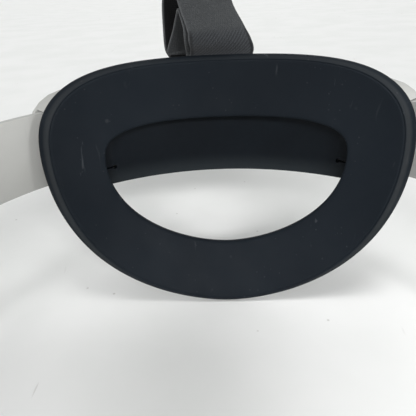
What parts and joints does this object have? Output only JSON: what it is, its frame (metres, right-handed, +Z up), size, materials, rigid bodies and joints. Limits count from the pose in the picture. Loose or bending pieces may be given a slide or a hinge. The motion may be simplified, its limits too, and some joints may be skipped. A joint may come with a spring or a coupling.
{
  "type": "virtual reality headset",
  "caption": "Head-worn display: a visor with a foam face pad, hinged side arms and a rear head cradle drawn in by a dial, under a woven top strap.",
  "frame": {"origin": "middle of the footprint, on the surface that the headset stands on", "axes": "+Z up, -Y the way the wearer looks, +X towards the wearer's left"},
  "size_m": [0.1964, 0.3168, 0.172],
  "materials": {
    "light_plastic": "fine matt texture",
    "dark_plastic": "fine matt texture",
    "black_rubber": "soft-touch, faint scuffs",
    "pad_fabric": "knitted cover over foam",
    "webbing": "twill-woven webbing",
    "black_glass": "polished",
    "lens_optic": "polished with an anti-glare tint",
    "steel": "turned",
    "alloy": "bead-blasted",
    "circuit_board": "solder mask",
    "battery_wrap": "film wrap"
  },
  "bodies": {
    "visor": {"pivot_pin_left": "steel", "pivot_pin_right": "steel", "top_strap_front": "webbing", "front_cover": "light_plastic", "visor_shell": "light_plastic", "front_strap_anchor": "light_plastic", "pivot_washer_left": "dark_plastic", "pivot_washer_right": "dark_plastic", "tracking_camera_upper_left": "black_glass", "tracking_camera_upper_right": "black_glass", "tracking_camera_lower_left": "black_glass", "tracking_camera_lower_right": "black_glass", "status_light": "lens_optic", "charging_port": "steel", "headphone_socket": "dark_plastic", "chassis_frame": "alloy", "lens_rail_upper": "steel", "lens_rail_lower": "steel", "display_panel": "black_glass", "main_board": "circuit_board", "battery_pack": "battery_wrap", "heat_sink": "alloy", "fan_case": "dark_plastic", "inner_shroud": "dark_plastic", "wear_sensor": "black_glass", "face_frame": "dark_plastic", "face_pad": "pad_fabric"},
    "side_arms": {"side_arm_left": "light_plastic", "side_arm_right": "light_plastic", "arm_cover_left": "light_plastic", "arm_cover_right": "light_plastic", "speaker_left": "battery_wrap", "speaker_right": "battery_wrap", "top_strap": "webbing"},
    "rear_unit": {"head_cradle": "black_rubber", "cradle_stud_left": "dark_plastic", "cradle_stud_right": "dark_plastic", "rear_outer_shell": "light_plastic", "rear_inner_cover": "dark_plastic", "rear_strap_anchor": "dark_plastic", "cover_screw_1": "steel", "cover_screw_2": "steel", "cover_screw_3": "steel", "cover_screw_4": "steel", "detent_spring": "steel", "top_strap_rear": "webbing"},
    "left_band": {"rack_band_left": "light_plastic"},
    "right_band": {"rack_band_right": "light_plastic"},
    "dial": {"fit_dial": "light_plastic", "dial_cap": "dark_plastic", "dial_screw": "steel", "fit_pinion": "steel"},
    "left_lens": {"lens_barrel_left": "dark_plastic", "lens_left": "lens_optic"},
    "right_lens": {"lens_barrel_right": "dark_plastic", "lens_right": "lens_optic"},
    "fan": {"fan_rotor": "dark_plastic"},
    "power": {"power_button": "dark_plastic"},
    "volume": {"volume_rocker": "dark_plastic"}
  },
  "joints": [
    {"name": "strap_tilt", "type": "hinge", "parent": "visor", "child": "side_arms", "pos_m": [0, -0.0834, 0.063], "axis": [1, 0, 0], "range_deg": [0, 25]},
    {"name": "fit_slide", "type": "slide", "parent": "side_arms", "child": "rear_unit", "axis": [0, -1, 0], "range_m": [0, 0.024]},
    {"name": "left_band_feed", "type": "hinge", "parent": "rear_unit", "child": "left_band", "pos_m": [0, 0.0466, 0.063], "axis": [0, 0, 1], "range_deg": [0, 14.7]},
    {"name": "right_band_feed", "type": "hinge", "parent": "rear_unit", "child": "right_band", "pos_m": [0, 0.0466, 0.063], "axis": [0, 0, 1], "range_deg": [-14.7, 0]},
    {"name": "dial_turn", "type": "hinge", "parent": "rear_unit", "child": "dial", "pos_m": [0, 0.14, 0.063], "axis": [0, 1, 0], "range_deg": [-229.5, 0]},
    {"name": "lens_spacing_left", "type": "slide", "parent": "visor", "child": "left_lens", "axis": [1, 0, 0], "range_m": [-0.0025, 0.0025]},
    {"name": "lens_spacing_right", "type": "slide", "parent": "visor", "child": "right_lens", "axis": [1, 0, 0], "range_m": [-0.0025, 0.0025]},
    {"name": "fan_spin", "type": "hinge", "parent": "visor", "child": "fan", "pos_m": [0.032, -0.1426, 0.05], "axis": [0, 1, 0], "continuous": true},
    {"name": "power_press", "type": "slide", "parent": "visor", "child": "power", "axis": [-1, 0, 0], "range_m": [0, 0.0006], "stiffness_N_per_m": 900},
    {"name": "volume_rock", "type": "hinge", "parent": "visor", "child": "volume", "pos_m": [-0.0845, -0.1314, 0.06], "axis": [0, 0, 1], "range_deg": [-1.5, 1.5], "stiffness_Nm_per_rad": 0.3}
  ],
  "couplings": [
    {"joint": "left_band_feed", "follows": "fit_slide", "rad_per_m": 10.638},
    {"joint": "right_band_feed", "follows": "fit_slide", "rad_per_m": -10.638},
    {"joint": "dial_turn", "follows": "fit_slide", "rad_per_m": -166.67},
    {"joint": "lens_spacing_right", "follows": "lens_spacing_left", "ratio": -1}
  ]
}
